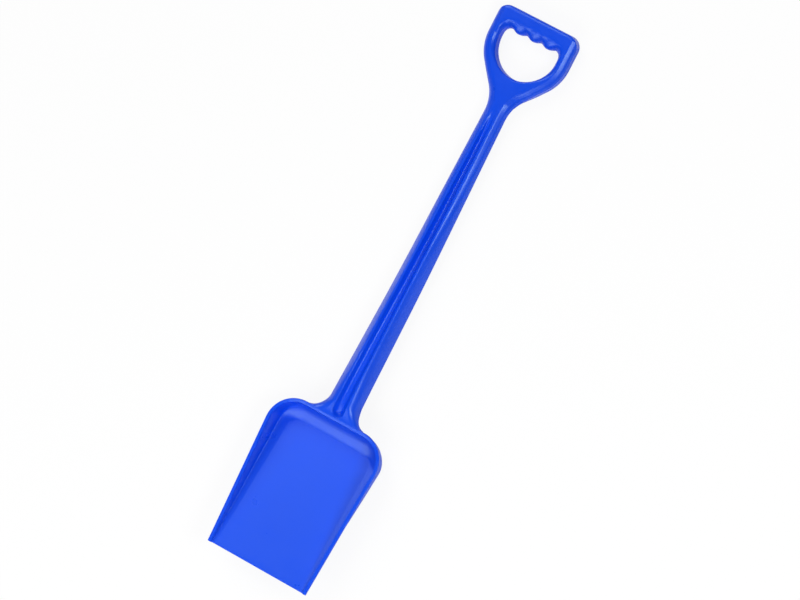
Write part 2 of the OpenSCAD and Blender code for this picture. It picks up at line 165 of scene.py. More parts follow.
# %% Facet
FACET_SHARES = [[0, 0], [0.1, 0.02], [0.64, 0.4], [0.82, 0.62], [0.94, 0.84], [1, 1]]
FACET_SMOOTHING = 0.08
facet_at, facet_fall = smooth_table(FACET_SHARES, FACET_SMOOTHING)
facet_fall = (facet_fall - facet_fall[0]) / (facet_fall[-1] - facet_fall[0])


def facet(d, width, drop):
    """Height lost at distance d from an edge that has a slanting facet and then rolls over."""
    return drop * np.interp(1 - np.asarray(d, float) / width, facet_at, facet_fall)


print("half way in, a facet has taken", round(float(facet(0.5, 1, 1)), 2), "of its drop")

# %% [markdown]
# ## The pan of the blade
# The blade is a pan: a floor that slopes down to a heel, walls that grow from the front corners
# to the rear, and a flat lip round three sides. It could be sculpted, or cut with booleans, but
# a wall of even thickness is easiest to get by walking round the rim and drawing the same
# profile at each stop. Each stop gives a place, the inward direction and the run of the wall.


# %% Stops along the rim
TAPER = math.atan((BLADE_REAR_WIDTH - BLADE_FRONT_WIDTH) / 2
                  / (BLADE_LENGTH - BLADE_CORNER_RADIUS))
CORNER_X = BLADE_REAR_WIDTH / 2 - BLADE_CORNER_RADIUS
CORNER_Y = BLADE_LENGTH - BLADE_CORNER_RADIUS
SIDE_END = CORNER_Y - BLADE_CORNER_RADIUS * math.sin(TAPER)
RIM_HEIGHT = BLADE_WALL + PAN_DEPTH
NECK_ROOT_HALF = SHAFT_LOWER_WIDTH / 2 + NECK_FILLET_WIDTH
FRONT_EDGE_RADIUS = 0.9
FRONT_EDGE_SHARES = np.array([0, 0.08, 0.3, 0.62, 1])
SIDE_STOPS = 49
CORNER_STOPS = 33


def lip_height(y):
    return lerp(TIP_RISE + FRONT_LIP_HEIGHT, RIM_HEIGHT, y / BLADE_LENGTH)


def left_rim(rear_xs):
    """Stops from the left front corner to the middle of the rear: x, y, inward x, inward y,
    run of the wall, rounding of the outer edge."""
    stops = []
    front = FRONT_EDGE_RADIUS * FRONT_EDGE_SHARES
    for y in (*front, *np.linspace(FRONT_EDGE_RADIUS, SIDE_END, SIDE_STOPS)[1:-1]):
        s = y / SIDE_END
        x = lerp(BLADE_FRONT_WIDTH, BLADE_REAR_WIDTH, s) / 2
        turn = s * math.sin(TAPER)
        run = lerp(FRONT_WALL_RUN, SIDE_WALL_RUN, s)
        stops.append((-x, y, math.sqrt(1 - turn**2), turn, run, LIP_EDGE_RADIUS))
    for s in np.linspace(0, 1, CORNER_STOPS):
        t = lerp(-TAPER, math.pi / 2, s)
        run = lerp(SIDE_WALL_RUN, REAR_WALL_RUN, float(ease(s)))
        stops.append((-CORNER_X - BLADE_CORNER_RADIUS * math.cos(t),
                      CORNER_Y + BLADE_CORNER_RADIUS * math.sin(t),
                      math.cos(t), -math.sin(t), run, LIP_EDGE_RADIUS))
    for x, edge in rear_xs:
        stops.append((-x, BLADE_LENGTH, 0, -1, REAR_WALL_RUN, edge))
    return np.array(stops, float)


print("the blade widens by", round(math.degrees(TAPER), 1), "degrees on each side")

# %% [markdown]
# ## Lip and wall
# The profile goes over the lip, rolls into the wall and runs out into the floor. Points of the
# wall are given as shares of its run and its depth, so one table fits low and deep walls. The
# rear wall has a table of its own, because its foot is gentler: that is where the broad band
# of light lies. Round the corners one table turns into the other. At the rear the lip also
# falls a little toward the pan. The underside is the same profile moved down by the wall, and
# it is kept from folding over itself where the wall is too low for that.

# %% Profile of lip and wall
REAR_WALL_SHARES = [[0, 0], [0.02, 0.03], [0.045, 0.3], [0.08, 0.585], [0.13, 0.68], [0.2, 0.745],
                    [0.35, 0.825], [0.5, 0.885], [0.68, 0.94], [0.87, 0.985], [1, 1]]
SIDE_WALL_SHARES = [[0, 0], [0.03, 0.04], [0.08, 0.38], [0.15, 0.71], [0.2, 0.88], [0.235, 0.925],
                    [0.5, 0.965], [0.75, 0.985], [0.9, 0.995], [1, 1]]
LIP_TURNS = np.radians([0, 18, 36, 54, 72, 90])
LIP_SHARES = (0.35, 0.7, 1)
LIP_INNER_ROLL = 1.2
REAR_LIP_FALL = 0.8
WALL_SMOOTHING = 0.03
WALL_POINTS = 36
WALL_CROWDING = 1.7
UNDER_EDGE_POINTS = 3
LEAST_STEP = 0.01


def pan_top(run, depth, edge, rear):
    """Distance inward and height below the rim along the upper side. The last value says how
    far the profile has turned from the side wall's to the rear wall's."""
    outer = [[LIP_EDGE_RADIUS * (1 - math.cos(t)), -edge * (1 - math.sin(t))] for t in LIP_TURNS]
    wall_start = LIP_WIDTH - LIP_INNER_ROLL
    lip = [[lerp(LIP_EDGE_RADIUS, wall_start, s), 0] for s in LIP_SHARES]
    at, side_fall = smooth_table(SIDE_WALL_SHARES, WALL_SMOOTHING)
    fall = lerp(side_fall, smooth_table(REAR_WALL_SHARES, WALL_SMOOTHING)[1], rear)
    fall = (fall - fall[0]) / (fall[-1] - fall[0])
    shares = np.linspace(0, 1, WALL_POINTS + 1)[1:] ** WALL_CROWDING
    wall = [[lerp(wall_start, LIP_WIDTH + run, s), -depth * np.interp(s, at, fall)]
            for s in shares]
    points = np.array(outer + lip + wall, float)
    level = limit((points[:, 0] - LIP_EDGE_RADIUS) / (LIP_WIDTH - LIP_EDGE_RADIUS))
    points[:, 1] -= REAR_LIP_FALL * rear * level * (1 - limit(-points[:, 1] / depth))
    return points


def pan_under(run, depth, edge, rear):
    """The same profile for the underside, one wall thickness lower."""
    top = pan_top(run, depth, edge, rear)
    along = np.gradient(top, axis=0)
    normal = np.stack([-along[:, 1], along[:, 0]], 1) / np.linalg.norm(along, axis=1)[:, None]
    under = top - normal * BLADE_WALL
    under[:, 1] = np.clip(under[:, 1], -depth - BLADE_WALL, -BLADE_WALL)
    lip = len(LIP_TURNS) + len(LIP_SHARES)
    under[:lip, 0] = top[:lip, 0]
    under[:lip, 1] = -BLADE_WALL
    # The lower outer edge is broken a little too
    low = LIP_EDGE_RADIUS * 0.5
    under[0] = [0, -BLADE_WALL + low]
    under[1] = [low * 0.3, -BLADE_WALL + low * 0.3]
    under[2] = [low, -BLADE_WALL]
    rest = under[UNDER_EDGE_POINTS:]
    least = low + LEAST_STEP * np.arange(len(rest))
    rest[:, 0] = np.maximum.accumulate(np.maximum(rest[:, 0], least))
    under[-1] = [top[-1, 0], -depth - BLADE_WALL]
    return under


print("points in the profile:", len(pan_top(REAR_WALL_RUN, PAN_DEPTH, LIP_EDGE_RADIUS, 1)))

# %% [markdown]
# ## The lines of the handle
# From the lip to the grip the shovel is one long, slowly changing section. Three lines drive
# it: the crest line on the front, the line of the back edges, and the half width in plan with
# its hollow curve into the yoke. They are the CAD model's own lines. Only just behind the
# blade the crest swells a little, so that the neck catches the light from below.

# %% Where things lie along the handle
CROSSBAR_UNDER = LENGTH - CROSSBAR_HEIGHT
OPENING_CENTRE = CROSSBAR_UNDER - OPENING_HEIGHT + OPENING_RADIUS
ARM_TOP = CROSSBAR_UNDER - OPENING_CORNER_RADIUS - BACK_EDGE_RADIUS
GRIP_HALF = GRIP_WIDTH / 2
FILLET_RUN = YOKE_FILLET_RADIUS * (1 - math.cos(YOKE_FLARE_ANGLE))
SHOULDER_RUN = YOKE_SHOULDER_RADIUS * (1 - math.cos(YOKE_FLARE_ANGLE))
STRAIGHT_RISE = ((GRIP_HALF - SHAFT_UPPER_WIDTH / 2 - FILLET_RUN - SHOULDER_RUN)
                 / math.tan(YOKE_FLARE_ANGLE))
SHOULDER_START = OPENING_CENTRE - YOKE_SHOULDER_RADIUS * math.sin(YOKE_FLARE_ANGLE)
FILLET_END = SHOULDER_START - STRAIGHT_RISE
FLARE_START = FILLET_END - YOKE_FILLET_RADIUS * math.sin(YOKE_FLARE_ANGLE)
THROAT_SHARE = 0.55
THROAT = lerp(FLARE_START, FILLET_END, THROAT_SHARE)
NECK_TOP = BLADE_LENGTH + NECK_LENGTH
LINE_SMOOTHING = 0.05
CREST_LINE = smooth_table([[0, 1], [0.08, 1.08], [0.22, 0.98], [0.39, 0.69], [0.56, 0.4],
                           [0.66, 0.27], [0.8, 0.12], [0.93, 0.03], [1, 0]], LINE_SMOOTHING)
BACK_LINE = smooth_table([[0, 1], [0.08, 1.03], [0.22, 0.62], [0.39, 0.14], [0.54, 0], [1, 0]],
                         LINE_SMOOTHING)
LEVEL_RUN = 12
SWELL = 1.5
SWELL_RISE_RUN = 16
SWELL_FADE_RUN = 60


def handle_share(y):
    """0 at the rear lip and 1 where the yoke starts."""
    return float(limit((y - BLADE_LENGTH) / (THROAT - BLADE_LENGTH)))


def crest_height(y):
    """Height of the front of the handle. It starts level with the rim of the blade."""
    behind = y - BLADE_LENGTH
    share = np.interp(handle_share(y), *CREST_LINE)
    first = np.interp(handle_share(BLADE_LENGTH), *CREST_LINE)
    start = (first - 1) * (1 - float(ease(behind / LEVEL_RUN)))
    fade = 1 - ease((behind - SWELL_RISE_RUN) / SWELL_FADE_RUN)
    swell = SWELL * float(ease(behind / SWELL_RISE_RUN) * fade)
    return lerp(GRIP_THICKNESS, RIM_HEIGHT, share - start) + swell


def back_height(y):
    """Height of the back edges. They rise to the rear lip where the neck leaves it."""
    line = lerp(GRIP_THICKNESS / 2, NECK_BACK_HEIGHT, np.interp(handle_share(y), *BACK_LINE))
    root = RIM_HEIGHT - BLADE_WALL - NECK_ROOT_DROP
    return lerp(root, line, float(ease((y - BLADE_LENGTH) / NECK_FILLET_WIDTH)))


def outline_half(y):
    """Half width of the handle in plan, from the rear lip to the top of the arms."""
    root = y - BLADE_LENGTH
    if root < NECK_FILLET_LENGTH:
        return SHAFT_LOWER_WIDTH / 2 + float(rounding(root, NECK_FILLET_LENGTH, NECK_FILLET_WIDTH))
    if y < FLARE_START:
        s = (root - NECK_FILLET_LENGTH) / (FLARE_START - BLADE_LENGTH - NECK_FILLET_LENGTH)
        return lerp(SHAFT_LOWER_WIDTH, SHAFT_UPPER_WIDTH, s) / 2
    if y < FILLET_END:
        return (SHAFT_UPPER_WIDTH / 2 + YOKE_FILLET_RADIUS
                - math.sqrt(YOKE_FILLET_RADIUS**2 - (y - FLARE_START) ** 2))
    if y < SHOULDER_START:
        return SHAFT_UPPER_WIDTH / 2 + FILLET_RUN + (y - FILLET_END) * math.tan(YOKE_FLARE_ANGLE)
    if y < OPENING_CENTRE:
        return (GRIP_HALF - YOKE_SHOULDER_RADIUS
                + math.sqrt(YOKE_SHOULDER_RADIUS**2 - (OPENING_CENTRE - y) ** 2))
    return GRIP_HALF


print("the yoke starts at", round(THROAT, 1), "mm from the front edge")

# %% [markdown]
# ## Section of the neck and shaft
# The front has a rounded groove with a half round end right behind the blade. It is about 5 mm
# deep along most of the shaft and fades out below the yoke. Beside it are two narrow crests,
# and from there the shoulders roll down to the edges: flatter on the lower shaft, and with a
# slanting facet further up. The back is open: its surface follows the front at the thickness of
# the wall. That offset is found by rolling a ball of the wall's radius along the front, so it
# never folds.

# %% One section, front and back
GROOVE_CURVE = smooth_table([[0, 1], [0.22, 1], [0.42, 0.9], [0.6, 0.62], [0.8, 0.24],
                             [0.93, 0.05], [1, 0]], 0.07)
GROOVE_START = BLADE_LENGTH
GROOVE_SHALLOW_SHARE = 0.55
GROOVE_DEEPENS_FROM, GROOVE_DEEPENS_RUN = 200, 150
NECK_CREST_SPREAD = 0.75
ROOT_FULLNESS, NECK_FULLNESS, SHAFT_FULLNESS = 0.8, 1.3, 1.65
FULLNESS_FADES_FROM, FULLNESS_FADE_RUN = 300, 160
FACET_STARTS_FROM, FACET_START_RUN = 350, 110
BALL_STEPS = 49
GROOVE_COLUMNS = np.linspace(0, 1, 17)
CREST_COLUMNS = np.linspace(0, 1, 8)[1:]
SHOULDER_COLUMNS = np.radians(np.linspace(0, 90, 25))[1:]


def groove_share(y):
    return float(limit((y - GROOVE_START) / (THROAT - GROOVE_START)))


def groove_half_width(y):
    return lerp(GROOVE_LOWER_HALF_WIDTH, GROOVE_UPPER_HALF_WIDTH, groove_share(y))


def groove_fall(x, y):
    """How far the groove lies below the crest at x: the end of the groove is half round."""
    full = groove_half_width(y)
    depth = lerp(GROOVE_LOWER_DEPTH, GROOVE_UPPER_DEPTH, groove_share(y))
    depth *= float(ease((THROAT - y) / GROOVE_FADE_LENGTH))
    deepening = float(ease((y - GROOVE_DEEPENS_FROM) / GROOVE_DEEPENS_RUN))
    depth *= lerp(GROOVE_SHALLOW_SHARE, 1, deepening)
    ahead = max(0, full - (y - GROOVE_START))
    reach = np.sqrt(x**2 + ahead**2) / full
    return depth * np.interp(reach, *GROOVE_CURVE) * (reach < 1)


def shoulder_fullness(y):
    """1 makes the shoulder a quarter ellipse, and 2 would make it a flat slope."""
    spread = (y - BLADE_LENGTH) / NECK_FILLET_WIDTH
    if spread < 1:
        return lerp(ROOT_FULLNESS, NECK_FULLNESS, spread)
    low = lerp(NECK_FULLNESS, SHAFT_FULLNESS, float(ease((spread - 1) / 3)))
    return lerp(low, 1, float(ease((y - FULLNESS_FADES_FROM) / FULLNESS_FADE_RUN)))


def section_front(y):
    """Points of the right half from the middle to the edge: across and height."""
    top, low, side = crest_height(y), back_height(y), outline_half(y)
    mouth = groove_half_width(y)
    crest = mouth + CREST_WIDTH
    if y < NECK_TOP:
        crest += (side - SHAFT_LOWER_WIDTH / 2) * NECK_CREST_SPREAD
    fullness = shoulder_fullness(y)
    reach = np.sin(SHOULDER_COLUMNS) ** fullness
    xs = np.concatenate([mouth * GROOVE_COLUMNS, lerp(mouth, crest, CREST_COLUMNS),
                         lerp(crest, side, reach)])
    rolled = np.cos(np.minimum(SHOULDER_COLUMNS, math.pi / 2 - 1e-9)) ** fullness
    slanted = 1 - facet(1 - reach, 1, 1)
    fall = lerp(rolled, slanted, float(ease((y - FACET_STARTS_FROM) / FACET_START_RUN)))
    zs = np.full(len(xs), top)
    zs[: len(GROOVE_COLUMNS)] -= groove_fall(mouth * GROOVE_COLUMNS, y)
    zs[-len(fall):] = lerp(low + WALL_EDGE_HEIGHT, top, fall)
    return np.stack([xs, zs], 1)


def section_back(y, rib=False):
    """The same half as the open back sees it, or the flat foot of a cross rib."""
    front, low = section_front(y), back_height(y)
    side = front[-1, 0]
    xs = front[:, 0] * (side - WALL) / side
    if rib:
        return np.stack([xs, np.full(len(xs), low)], 1)
    d = np.linspace(-WALL, WALL, BALL_STEPS)
    seen = np.interp(np.abs(xs[:, None] + d), front[:, 0], front[:, 1])
    zs = np.min(seen - np.sqrt(WALL**2 - d**2), axis=1)
    zs[-1] = low
    return np.stack([xs, np.maximum(low, zs)], 1)


def full_row(half, y):
    """Both halves of a section as points, from the left edge to the right. y may be a row."""
    row = np.stack([half[:, 0], np.broadcast_to(y, len(half)), half[:, 1]], 1)
    left = row[:0:-1] * [-1, 1, 1]
    return np.concatenate([left, row])


print("points across a section:", 2 * len(section_front(NECK_TOP)) - 1)

# %% [markdown]
# ## Skins
# Each member is a closed skin between a front grid and a back grid of points. Where two members
# meet, both end in the same row of points, closed by a cap that lies inside the plastic. The
# skins are collected first and become meshes later, because the seams should not show: the
# shading normals are worked out over all the members together.

# %% A list of skins
skins = {}


def quads(rows, cols):
    """The four point numbers of every face in a net of rows and columns."""
    a = (np.arange(rows - 1)[:, None] * cols + np.arange(cols - 1)).ravel()
    return np.stack([a, a + 1, a + cols + 1, a + cols], 1)


def strip(first, second):
    """Quads between two rows of point numbers."""
    return np.stack([first[:-1], first[1:], second[1:], second[:-1]], 1)


def grid_skin(name, front, back, caps):
    """Adds a closed skin. Rows run up the shovel, columns from left to right, and caps says
    for the first and the last row whether a seam is there."""
    rows, cols = front.shape[:2]
    n = rows * cols
    number = np.arange(n).reshape(rows, cols)
    faces = [quads(rows, cols), quads(rows, cols)[:, ::-1] + n,
             strip(number[:, 0], number[:, 0] + n)[:, ::-1],
             strip(number[:, -1], number[:, -1] + n)]
    ends = [strip(number[0], number[0] + n), strip(number[-1], number[-1] + n)[:, ::-1]]
    hidden = np.zeros(0, bool)
    for f in faces:
        hidden = np.append(hidden, np.zeros(len(f), bool))
    for f, cap in zip(ends, caps):
        hidden = np.append(hidden, np.full(len(f), cap))
    points = np.concatenate([front.reshape(-1, 3), back.reshape(-1, 3)])
    skins[name] = {"points": points, "faces": np.concatenate(faces + ends), "hidden": hidden}
    print(name, "skin has", len(points), "points")


print("a net of 3 rows and 4 columns has", len(quads(3, 4)), "faces")

# %% [markdown]
# ## The blade's skin
# The profile is drawn at every stop of the rim and mirrored. The floor is a grid of straight
# rows between the feet of the two walls. Its columns end on the same points as the rear wall,
# so the pan is one smooth net of four-sided faces.

# %% Blade
root_half = section_front(BLADE_LENGTH)
level = root_half[: len(GROOVE_COLUMNS) + len(CREST_COLUMNS), 0]
LEVEL_HALF = level[-1]
REAR_STOPS = 10
outer_xs = np.linspace(LEVEL_HALF, CORNER_X, REAR_STOPS + 2)[1:-1]
rear_xs = [(x, LIP_EDGE_RADIUS * float(ease((x - LEVEL_HALF) / (NECK_ROOT_HALF - LEVEL_HALF))))
           for x in outer_xs[::-1]] + [(x, 0) for x in level[::-1]]
rim = left_rim(rear_xs)
heel = max(rim[:, 1] + rim[:, 3] * (LIP_WIDTH + rim[:, 4]))


def floor_height(y):
    return lerp(TIP_RISE, BLADE_WALL, y / heel)


def pan_row(stop, under):
    """The profile at one stop of the rim as points, for the upper side or the underside."""
    x, y, in_x, in_y, run, edge = stop
    foot = y + in_y * (LIP_WIDTH + run)
    depth = lip_height(y) - floor_height(foot)
    rear = float(ease(-in_y))
    profile = pan_under(run, depth, edge, rear) if under else pan_top(run, depth, edge, rear)
    front = float(rounding(y, FRONT_EDGE_RADIUS, FRONT_EDGE_RADIUS)) * (1 if under else -1)
    return np.stack([x + in_x * profile[:, 0], y + in_y * profile[:, 0],
                     lip_height(y) + profile[:, 1] + front], 1)


def blade_skin():
    """Walls and floor, above and below, joined at the front edge and round the lip."""
    corner_end = next(i for i, s in enumerate(rim) if s[3] == -1)
    points, faces = [], []
    for under in (False, True):
        ring = np.array([pan_row(s, under) for s in rim])
        ring = np.concatenate([ring, ring[-2::-1] * [-1, 1, 1]])
        stops, cols = ring.shape[:2]
        across = np.arange(corner_end, stops - corner_end)
        span = ring[across, -1, 0] / ring[across[-1], -1, 0]
        floor = np.array([[[x * ring[stops - 1 - i, -1, 0], ring[i, -1, 1], ring[i, -1, 2]]
                           for x in span] for i in range(corner_end + 1)])
        start = sum(len(p) for p in points)
        points += [ring.reshape(-1, 3), floor.reshape(-1, 3)]
        ring_faces = quads(stops, cols) + start
        floor_faces = quads(corner_end + 1, len(span)) + start + stops * cols
        both = np.concatenate([ring_faces, floor_faces])
        faces.append(both[:, ::-1] if under else both)
        number = np.arange(stops * cols).reshape(stops, cols) + start
        if not under:
            top, top_floor = number, np.arange(len(span)) + start + stops * cols
        else:
            low_floor = np.arange(len(span)) + start + stops * cols
            faces += [strip(top[:, 0], number[:, 0]),
                      strip(top[0], number[0])[:, ::-1],
                      strip(top[-1], number[-1]), strip(top_floor, low_floor)[:, ::-1]]
    faces = np.concatenate(faces)
    skins["blade"] = {"points": np.concatenate(points), "faces": faces,
                      "hidden": np.zeros(len(faces), bool)}
    print("blade skin has", len(skins["blade"]["points"]), "points")


blade_skin()

# %% [markdown]
# ## Neck
# The neck spreads onto the rear lip in two hollow curves and dives under the lip at its sides.
# Its last row lies on the blade's own surface, so no gap opens between the two. The rows lie
# closer together near the blade, where the section changes fastest.

# %% Neck
NECK_ROWS = 61
NECK_CROWDING = 1.3


def rear_contact(z):
    """How far back the pan's rear wall reaches at a height, for the foot of the neck."""
    under = pan_under(REAR_WALL_RUN, PAN_DEPTH, 0, 1)[UNDER_EDGE_POINTS:]
    below = z - RIM_HEIGHT
    return np.where(below > -BLADE_WALL, BLADE_LENGTH,
                    BLADE_LENGTH - np.interp(-below, -under[:, 1], under[:, 0]))


def neck_row(y, back):
    front = section_front(y)
    half = section_back(y) if back else front
    if y > BLADE_LENGTH:
        return full_row(half, y)
    high = front[:, 1] > RIM_HEIGHT - BLADE_WALL
    return full_row(half, np.where(high, BLADE_LENGTH, rear_contact(half[:, 1])))


neck_ys = BLADE_LENGTH + NECK_LENGTH * np.linspace(0, 1, NECK_ROWS) ** NECK_CROWDING
grid_skin("neck", np.array([neck_row(y, False) for y in neck_ys]),
          np.array([neck_row(y, True) for y in neck_ys]), (True, True))

# %% [markdown]
# ## Shaft
# The shaft is open at the back, with cross ribs that keep the channel from spreading. A rib is
# a place where the back surface drops to the level of the edges, with a little draft so that
# the part leaves its mould. Between the ribs lie the bays.

# %% Shaft with its cross ribs
BAY_ROWS = 17
BAY_LENGTH = (THROAT - NECK_TOP) / (RIB_COUNT + 1)
RIB_DRAFT = RIB_THICKNESS / 3
shaft_stops = []
for bay in range(RIB_COUNT + 1):
    start, end = NECK_TOP + bay * BAY_LENGTH, NECK_TOP + (bay + 1) * BAY_LENGTH
    if bay > 0:
        start += RIB_THICKNESS / 2 + RIB_DRAFT
        shaft_stops += [(start - RIB_DRAFT, True)]
    if bay < RIB_COUNT:
        end -= RIB_THICKNESS / 2 + RIB_DRAFT
    shaft_stops += [(y, False) for y in np.linspace(start, end, BAY_ROWS)]
    if bay < RIB_COUNT:
        shaft_stops += [(end + RIB_DRAFT, True)]
grid_skin("shaft", np.array([full_row(section_front(y), y) for y, rib in shaft_stops]),
          np.array([full_row(section_back(y, rib), y) for y, rib in shaft_stops]), (True, True))

# %% [markdown]
# ## The D-shaped grip
# The yoke spreads from the shaft into two arms, and the crossbar closes the D. Both front edges
# of an arm have a slanting facet that is kind to the hand, and the back is flat with broken
# edges. Round the lower part of the opening the inner facet fades to a small, crisp rounding.
# A row of points runs from the finger opening to the outer edge, close together where the
# edges curve.

# %% Heights and rows of the grip
ARM_STEPS = len(SHOULDER_COLUMNS)
ACROSS = (1 - np.cos(math.pi * np.linspace(0, 1, ARM_STEPS + 1))) / 2
OUTER_FACET = (6.6, 5.5)
INNER_FACET = np.array([4.8, 4.2])
OPENING_EDGE = np.array([1.3, 1.3])
FACET_TURN_START, FACET_TURN_RUN = 0.6, 0.9


def grip_front(inner, outer, inner_size):
    """Front of the arms and the yoke. The inner size is the width and drop of the facet."""
    return GRIP_THICKNESS - facet(inner, *inner_size) - facet(outer, *OUTER_FACET)


def grip_back(inner, outer):
    return rounding(np.minimum(inner, outer), BACK_EDGE_RADIUS, BACK_EDGE_RADIUS)


def inner_facet(x, y):
    """Width and drop of the edge beside the opening, by the turn from its lowest point."""
    turn = np.arctan2(x, np.maximum(OPENING_CENTRE - y, 1e-6))
    share = ease((turn - FACET_TURN_START) / FACET_TURN_RUN)
    return lerp(OPENING_EDGE[:, None], INNER_FACET[:, None], share)


def arm_row(inner, outer, back):
    """A straight row of points from the opening to the outer edge."""
    inner, outer = np.array(inner, float), np.array(outer, float)
    reach = np.linalg.norm(outer - inner)
    a, b = reach * ACROSS, reach * (1 - ACROSS)
    place = lerp(inner, outer, ACROSS[:, None])
    height = grip_back(a, b) if back else grip_front(a, b, inner_facet(*inner))
    return np.column_stack([place, height])


def arm_outer_root():
    """Where the slanting root line of the arm meets the outer edge."""
    low, high = 0.0, GRIP_WIDTH
    for _ in range(40):
        reach = (low + high) / 2
        p = ARM_INNER_ROOT + reach * ROOT_DIRECTION
        low, high = (low, reach) if p[0] > outline_half(p[1]) else (reach, high)
    return ARM_INNER_ROOT + low * ROOT_DIRECTION


ARM_INNER_ROOT = np.array([OPENING_RADIUS * math.cos(ARM_ROOT_ANGLE),
                           OPENING_CENTRE - OPENING_RADIUS * math.sin(ARM_ROOT_ANGLE)])
ROOT_DIRECTION = np.array([math.cos(ARM_ROOT_ANGLE), -math.sin(ARM_ROOT_ANGLE)])
ARM_OUTER_ROOT = arm_outer_root()
print("arm root is", round(float(np.linalg.norm(ARM_OUTER_ROOT - ARM_INNER_ROOT)), 1), "mm wide")

# %% [markdown]
# ## Yoke
# The yoke's net has the shaft's section at one end and the round bottom of the finger opening
# with the two arm roots at the other. The straight blend between the ends is pushed outward so
# that its edges follow the outline.

# %% Yoke
YOKE_ROWS = 61
BLEND_END = 0.7
throat_half = section_front(THROAT)
inner_count = len(GROOVE_COLUMNS) + len(CREST_COLUMNS)
turns = -math.pi / 2 + (math.pi / 2 - ARM_ROOT_ANGLE) * np.linspace(0, 1, inner_count)
opening = np.column_stack([OPENING_RADIUS * np.cos(turns),
                           OPENING_CENTRE + OPENING_RADIUS * np.sin(turns)])
yoke_top = np.concatenate([opening, lerp(ARM_INNER_ROOT, ARM_OUTER_ROOT, ACROSS[1:, None])])


def yoke_row(v, back):
    """One row of the net: v is 0 at the shaft and 1 at the opening and the arm roots."""
    low = np.column_stack([throat_half[:, 0], np.full(len(throat_half), THROAT)])
    y_side = lerp(THROAT, ARM_OUTER_ROOT[1], v)
    edge = np.array([outline_half(y_side), y_side])
    push = lerp(throat_half[:, 0] / throat_half[-1, 0], np.linspace(0, 1, len(low)), v)
    place = lerp(low, yoke_top, v) + (edge - lerp(low[-1], ARM_OUTER_ROOT, v)) * push[:, None]
    outer = np.linalg.norm(place[-1] - place, axis=1)
    inner = np.linalg.norm(place - [0, OPENING_CENTRE], axis=1) - OPENING_RADIUS
    blend = float(ease(v / BLEND_END))
    if back:
        height = lerp(section_back(THROAT)[:, 1], grip_back(np.maximum(inner, 0), outer), blend)
    else:
        height = lerp(throat_half[:, 1],
                      grip_front(np.maximum(inner, 0), outer, inner_facet(*place.T)), blend)
    half = np.column_stack([place, height])
    return np.concatenate([half[:0:-1] * [-1, 1, 1], half])


shares_up = np.sin(math.pi / 2 * np.linspace(0, 1, YOKE_ROWS))
yoke_back = np.array([yoke_row(v, True) for v in shares_up])
yoke_back[0] = full_row(section_back(THROAT), THROAT)
grid_skin("yoke", np.array([yoke_row(v, False) for v in shares_up]), yoke_back, (True, True))

# %% [markdown]
# ## Arms
# An arm bends round the opening and then runs straight up to the crossbar. Its rows start on
# the slanting root line of the yoke and end level. The left arm is the right one mirrored, with
# its columns turned round so that the faces still look outward.

# %% Arms
ARM_BEND_ROWS = 21
ARM_STRAIGHT_ROWS = 6


def arm_grid(back):
    rows = []
    ys = np.linspace(ARM_OUTER_ROOT[1], ARM_TOP, ARM_BEND_ROWS + ARM_STRAIGHT_ROWS)
    for i, y in enumerate(ys):
        t = -ARM_ROOT_ANGLE * (1 - i / (ARM_BEND_ROWS - 1))
        if i < ARM_BEND_ROWS:
            inner = [OPENING_RADIUS * math.cos(t), OPENING_CENTRE + OPENING_RADIUS * math.sin(t)]
        else:
            straight = (i - ARM_BEND_ROWS + 1) / ARM_STRAIGHT_ROWS
            inner = [OPENING_RADIUS, lerp(OPENING_CENTRE, ARM_TOP, straight)]
        outer = ARM_OUTER_ROOT if i == 0 else [outline_half(y), y]
        rows.append(arm_row(inner, outer, back))
    return np.array(rows)


for side_name, flip in (("left_arm", -1), ("right_arm", 1)):
    grids = [arm_grid(back) * [flip, 1, 1] for back in (False, True)]
    if flip < 0:
        grids = [g[:, ::-1] for g in grids]
    grid_skin(side_name, *grids, (True, True))

# %% [markdown]
# ## The crossbar and its finger hollows
# Four hollows along the underside show where the fingers go, with three ridges between them.
# At a ridge the roll of the front edge is wider and rounder than in a hollow, and that makes
# the wavy line and the soft beads which catch the light above the fingers. Toward the arms the
# roll turns into their facet.

# %% Crossbar
PAD_HALF = OPENING_RADIUS - OPENING_CORNER_RADIUS
TOP_HALF = GRIP_HALF - GRIP_CORNER_RADIUS
PAD_STOPS, BAR_CORNER_STOPS = 61, 25
RIDGE_SHARPNESS = 0.8
# Width, drop and bevel of the roll
HOLLOW_ROLL = np.array([7, 8.6, 1.32])
RIDGE_ROLL = np.array([13, 7.4, 1.7])


def ridge_share(x):
    """1 on a ridge and 0 in a hollow. Beyond the outer hollows the underside stays straight."""
    wave = (1 + math.cos(2 * math.pi * x / FINGER_PITCH)) / 2
    return 0.0 if x > FINGER_PITCH * 1.5 else wave**RIDGE_SHARPNESS


def bar_stops():
    """Right half: inner point, outer point, share of the way from arm to pads, and of a ridge."""
    stops = []
    for s in np.linspace(0, 1, PAD_STOPS):
        ridge = ridge_share(PAD_HALF * s)
        stops.append(((PAD_HALF * s, CROSSBAR_UNDER - FINGER_RIDGE_HEIGHT * ridge),
                      (TOP_HALF * s, LENGTH), 1.0, ridge))
    for s in np.linspace(0, 1, BAR_CORNER_STOPS)[1:]:
        t = math.pi / 2 * (1 - s)
        stops.append(((PAD_HALF + OPENING_CORNER_RADIUS * math.cos(t),
                       CROSSBAR_UNDER - OPENING_CORNER_RADIUS * (1 - math.sin(t))),
                      (TOP_HALF + GRIP_CORNER_RADIUS * math.cos(t),
                       LENGTH - GRIP_CORNER_RADIUS * (1 - math.sin(t))), float(ease(1 - s)), 0.0))
    stops.append(((OPENING_RADIUS, ARM_TOP), (GRIP_HALF, ARM_TOP), 0.0, 0.0))
    return stops


